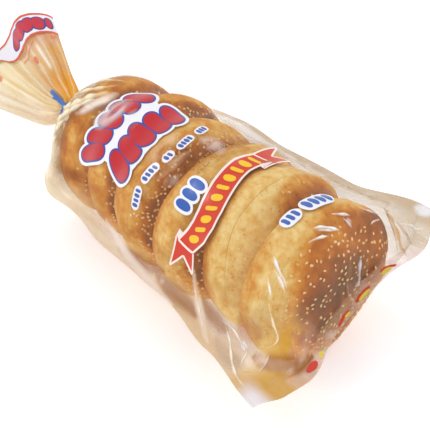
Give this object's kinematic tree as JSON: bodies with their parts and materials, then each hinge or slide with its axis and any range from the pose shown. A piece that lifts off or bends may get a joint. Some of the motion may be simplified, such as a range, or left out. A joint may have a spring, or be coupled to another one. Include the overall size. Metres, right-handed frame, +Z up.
{
  "type": "bagged hamburger buns",
  "caption": "Row of sesame hamburger buns on edge in a clear film bag, sealed flat at one end and gathered at the other into a fan tail by a twist tie.",
  "frame": {"origin": "on the plane that the bag lies on, under the middle of its box", "axes": "+X along the row of buns from the tied neck to the sealed end, +Y to the higher fin, +Z up"},
  "size_m": [0.4388, 0.1748, 0.1021],
  "materials": {
    "film": "thin clear film with a faint cream tint, glossy, creased",
    "tie": "blue plastic strip over a wire, satin",
    "crust": "baked bun crust, brown on the dome and golden at the rim, satin",
    "crumb": "pale soft side of a bun, matte",
    "sesame": "toasted sesame seed, satin",
    "ink_white": "white ink printed on film, glossy",
    "ink_red": "red ink printed on film, glossy",
    "ink_vermilion": "orange-red ink printed on film, glossy",
    "ink_blue": "blue ink printed on film, glossy",
    "ink_yellow": "yellow ink printed on film, glossy"
  },
  "bodies": {
    "root": {"bag": "film", "twist_tie": "tie"}
  },
  "joints": []
}
